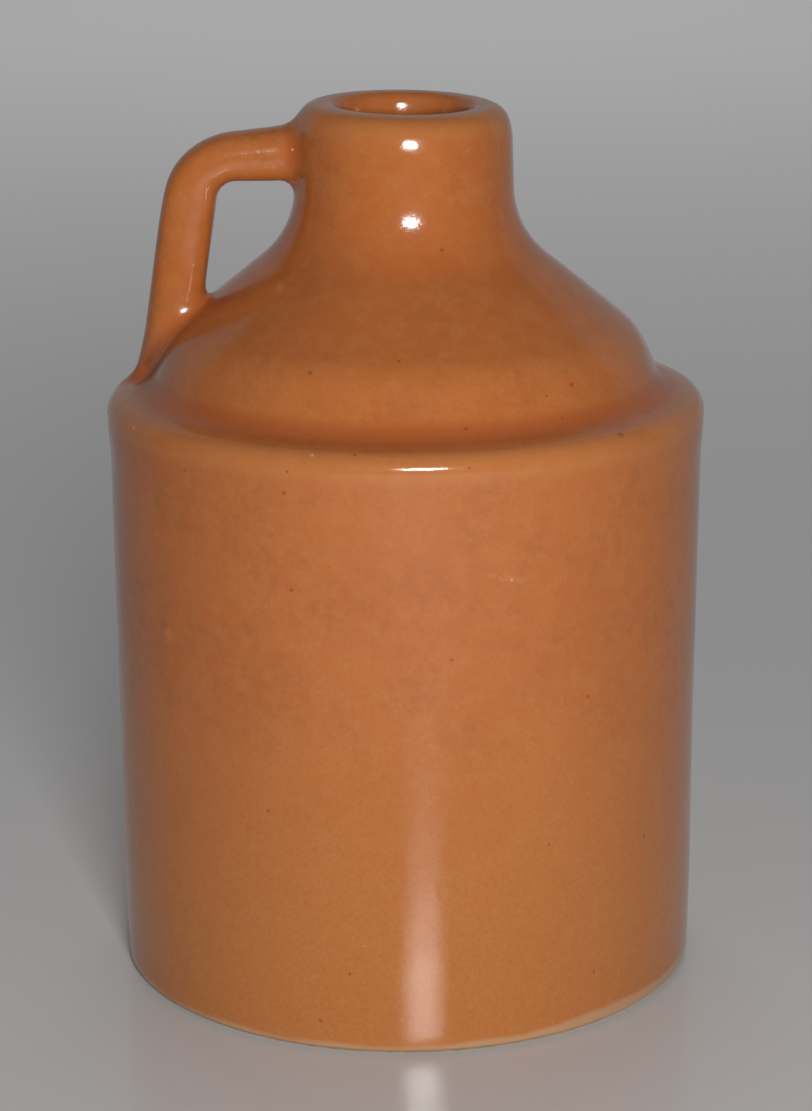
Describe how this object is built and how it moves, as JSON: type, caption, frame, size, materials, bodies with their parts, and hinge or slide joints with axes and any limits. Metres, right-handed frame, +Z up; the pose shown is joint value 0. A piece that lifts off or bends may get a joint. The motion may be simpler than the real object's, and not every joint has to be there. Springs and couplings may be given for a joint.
{
  "type": "stoneware jug",
  "caption": "Small glazed stoneware jug with a collared shoulder, a narrow open neck and a loop handle, for holding and pouring a drink or syrup.",
  "frame": {"origin": "on the jug's axis, at the surface it stands on", "axes": "+Z up along the jug's axis, -X towards the handle, +Y towards the side away from the picture's camera"},
  "size_m": [0.0678, 0.0678, 0.1],
  "materials": {
    "glazed_stoneware": "gloss"
  },
  "bodies": {
    "root": {"jug": "glazed_stoneware"}
  },
  "joints": []
}
